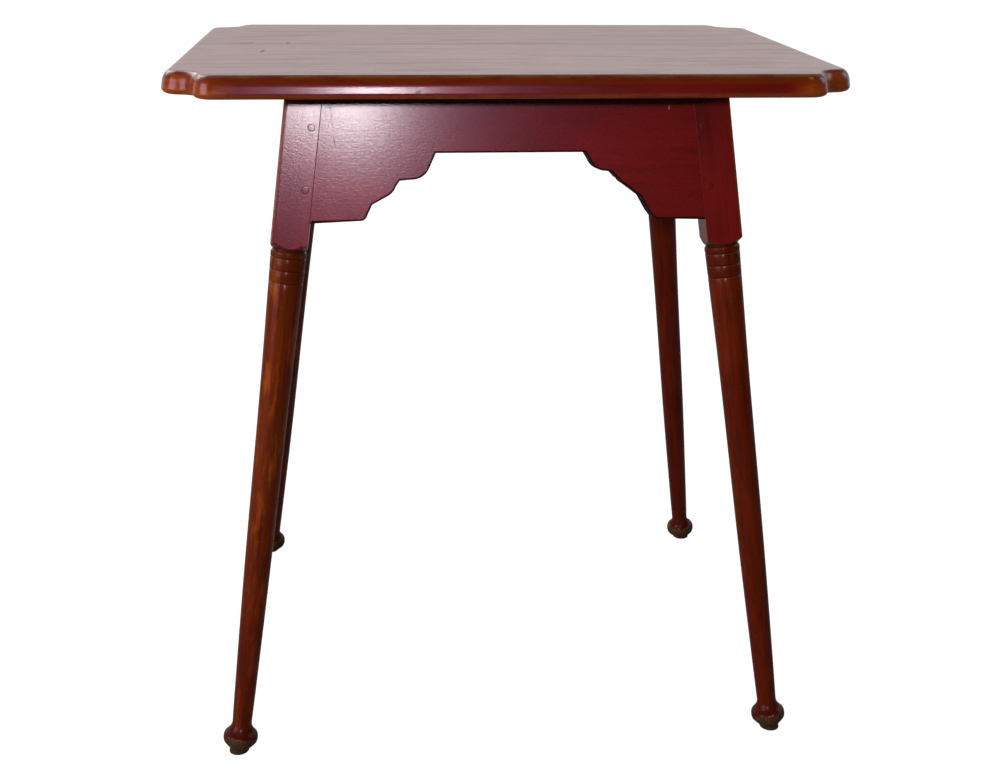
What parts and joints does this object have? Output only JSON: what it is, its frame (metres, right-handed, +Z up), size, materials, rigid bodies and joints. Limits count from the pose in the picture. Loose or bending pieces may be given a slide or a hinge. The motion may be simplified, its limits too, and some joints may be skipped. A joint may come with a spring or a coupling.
{
  "type": "tavern table",
  "caption": "Small red-stained wooden tavern table with splayed turned legs on ball feet, stepped arched aprons and a rectangular top with lobed corners.",
  "frame": {"origin": "on the floor, under the centre of the top", "axes": "+Z up, +X along the long side to the right, front towards -Y"},
  "size_m": [0.6144, 0.462, 0.673],
  "materials": {
    "top_stain": "worn red stain, satin gloss",
    "leg_stain": "worn red stain, gloss",
    "apron_stain": "red stain, satin gloss",
    "peg_wood": "red stain over end grain",
    "bare_wood": "bare",
    "screw_iron": "dull, aged"
  },
  "bodies": {
    "root": {"top_board_front": "top_stain", "top_board_back": "top_stain", "leg_front_left": "leg_stain", "leg_front_right": "leg_stain", "leg_back_left": "leg_stain", "leg_back_right": "leg_stain", "apron_front": "apron_stain", "apron_back": "apron_stain", "apron_left": "apron_stain", "apron_right": "apron_stain", "pegs_front": "peg_wood", "pegs_back": "peg_wood", "pegs_left": "peg_wood", "pegs_right": "peg_wood", "top_tongue": "bare_wood", "top_screws": "screw_iron"}
  },
  "joints": []
}
